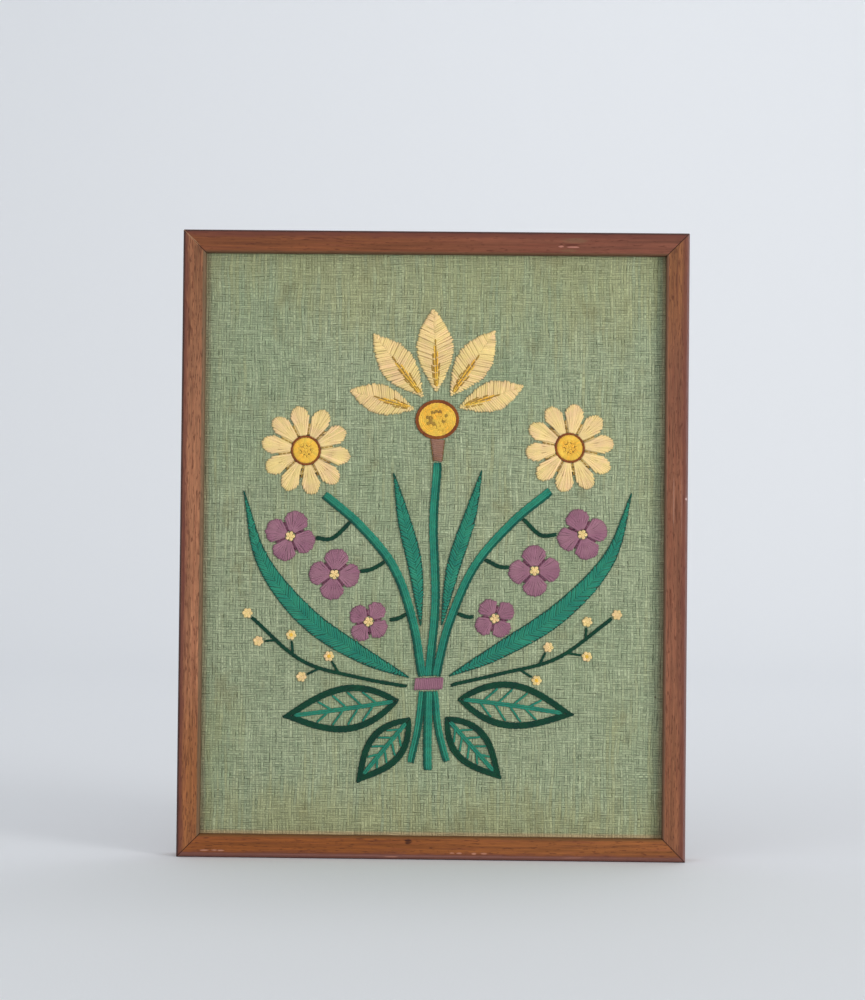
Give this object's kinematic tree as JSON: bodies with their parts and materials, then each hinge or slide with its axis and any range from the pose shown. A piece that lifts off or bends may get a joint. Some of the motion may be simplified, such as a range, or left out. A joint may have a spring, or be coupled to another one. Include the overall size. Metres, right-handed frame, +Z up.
{
  "type": "framed embroidery",
  "caption": "Upright embroidered picture of a posy on green linen, in a narrow mitred wooden frame with a backing board.",
  "frame": {"origin": "bottom centre of the frame, on the surface that it stands on", "axes": "+Z up along the frame's height, +X to the right seen from the front, -Y out of the stitched face"},
  "size_m": [0.253, 0.018, 0.313],
  "materials": {
    "teak": "thin satin oil, open grain, slightly worn edges",
    "linen": "matt slubby plain weave, faintly stained",
    "hardboard": "matt brown pressed board",
    "cream_wool": "soft twisted crewel wool",
    "gold_wool": "soft twisted crewel wool",
    "rust_wool": "soft twisted crewel wool",
    "taupe_wool": "soft twisted crewel wool",
    "teal_wool": "soft twisted crewel wool",
    "forest_wool": "soft twisted crewel wool",
    "mauve_wool": "soft twisted crewel wool"
  },
  "bodies": {
    "root": {"frame_left": "teak", "frame_top": "teak", "frame_right": "teak", "frame_bottom": "teak", "linen_ground": "linen", "backing_board": "hardboard", "fan_petal_1": "cream_wool", "fan_petal_2": "cream_wool", "fan_petal_3": "cream_wool", "fan_petal_4": "cream_wool", "fan_petal_5": "cream_wool", "fan_cup": "gold_wool", "fan_neck": "taupe_wool", "daisy_petals_left": "cream_wool", "daisy_petals_right": "cream_wool", "daisy_button_left": "gold_wool", "daisy_button_right": "gold_wool", "stems": "teal_wool", "stalk_ends": "teal_wool", "stem_tie": "mauve_wool", "leaf_outer_left": "teal_wool", "leaf_outer_right": "teal_wool", "leaf_inner_left": "teal_wool", "leaf_inner_right": "teal_wool", "blossom_left_1": "mauve_wool", "blossom_left_2": "mauve_wool", "blossom_left_3": "mauve_wool", "blossom_right_1": "mauve_wool", "blossom_right_2": "mauve_wool", "blossom_right_3": "mauve_wool", "blossom_eye_left_1": "cream_wool", "blossom_eye_left_2": "cream_wool", "blossom_eye_left_3": "cream_wool", "blossom_eye_right_1": "cream_wool", "blossom_eye_right_2": "cream_wool", "blossom_eye_right_3": "cream_wool", "blossom_stalk_left_1": "forest_wool", "blossom_stalk_left_2": "forest_wool", "blossom_stalk_left_3": "forest_wool", "blossom_stalk_right_1": "forest_wool", "blossom_stalk_right_2": "forest_wool", "blossom_stalk_right_3": "forest_wool", "veined_leaf_upper_left": "forest_wool", "veined_leaf_upper_right": "forest_wool", "veined_leaf_lower_left": "forest_wool", "veined_leaf_lower_right": "forest_wool", "sprig_left": "forest_wool", "sprig_right": "forest_wool", "knot_left_1": "cream_wool", "knot_left_2": "cream_wool", "knot_left_3": "cream_wool", "knot_left_4": "cream_wool", "knot_left_5": "cream_wool", "knot_right_1": "cream_wool", "knot_right_2": "cream_wool", "knot_right_3": "cream_wool", "knot_right_4": "cream_wool", "knot_right_5": "cream_wool"}
  },
  "joints": []
}
